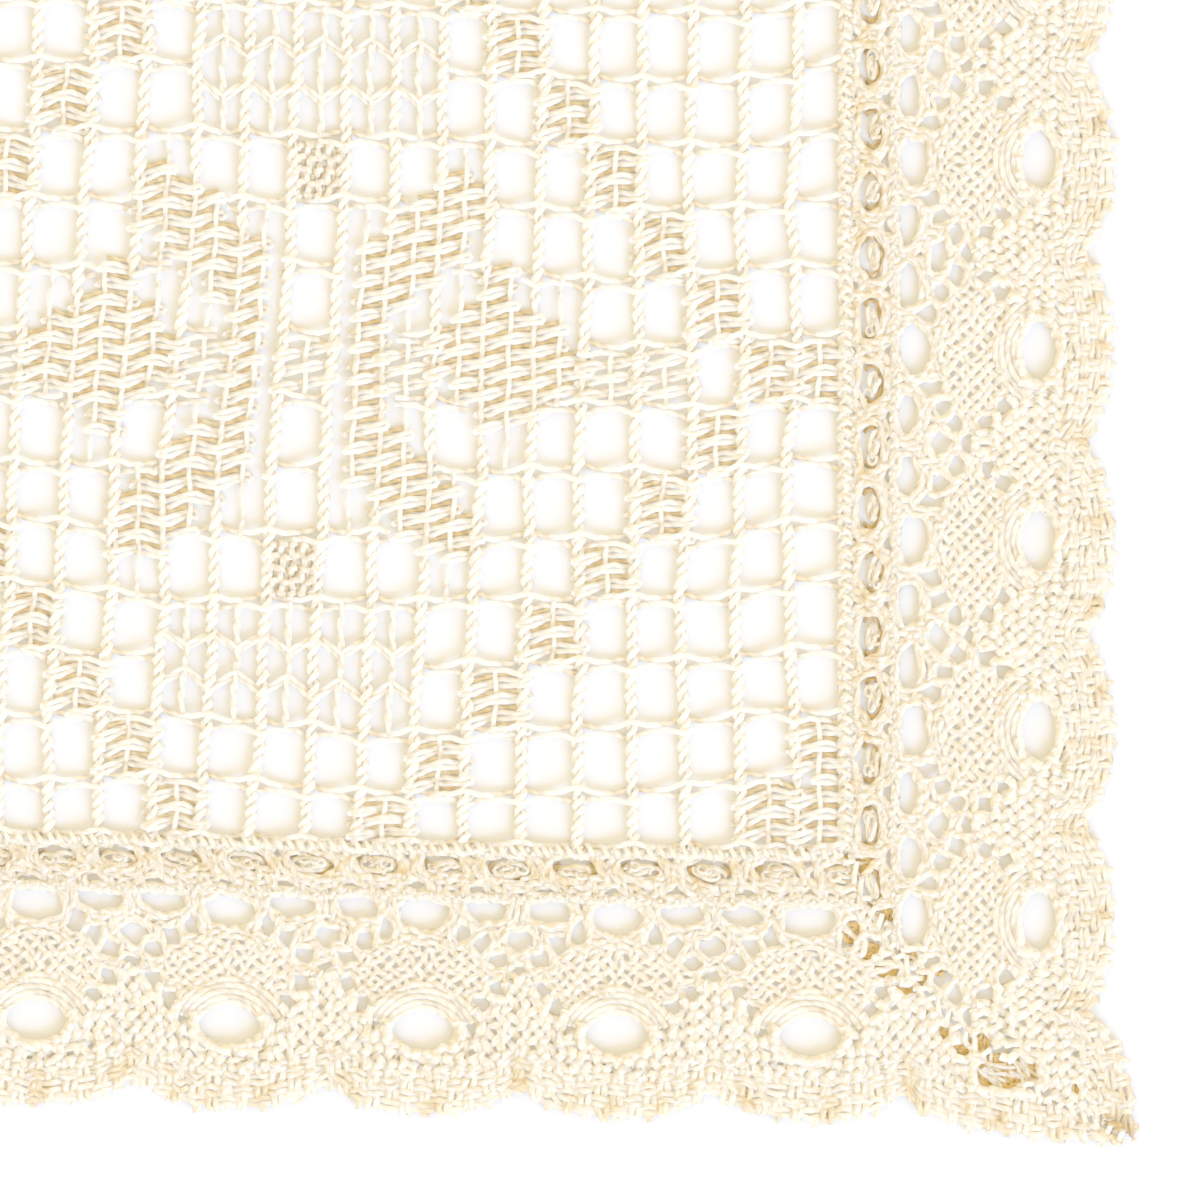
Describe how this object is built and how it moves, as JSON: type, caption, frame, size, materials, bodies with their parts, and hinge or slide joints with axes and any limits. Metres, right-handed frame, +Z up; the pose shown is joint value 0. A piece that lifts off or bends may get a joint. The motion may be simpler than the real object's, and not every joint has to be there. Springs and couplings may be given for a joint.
{
  "type": "crochet table runner",
  "caption": "Small table runner of darned square net with stepped figures, edged all round with mitred, scalloped cotton lace.",
  "frame": {"origin": "middle of the runner on the surface that it lies on", "axes": "+Y along the runner's length, away from the end that the picture shows, +X towards the long side that the picture shows, +Z up out of the cloth"},
  "size_m": [0.2082, 0.3366, 0.0018],
  "materials": {
    "net_cotton": "matt unbleached cotton net",
    "lace_cotton": "matt unbleached cotton lace"
  },
  "bodies": {
    "root": {"net_panel": "net_cotton", "edging_right": "lace_cotton", "edging_left": "lace_cotton", "edging_bottom": "lace_cotton", "edging_top": "lace_cotton"}
  },
  "joints": []
}
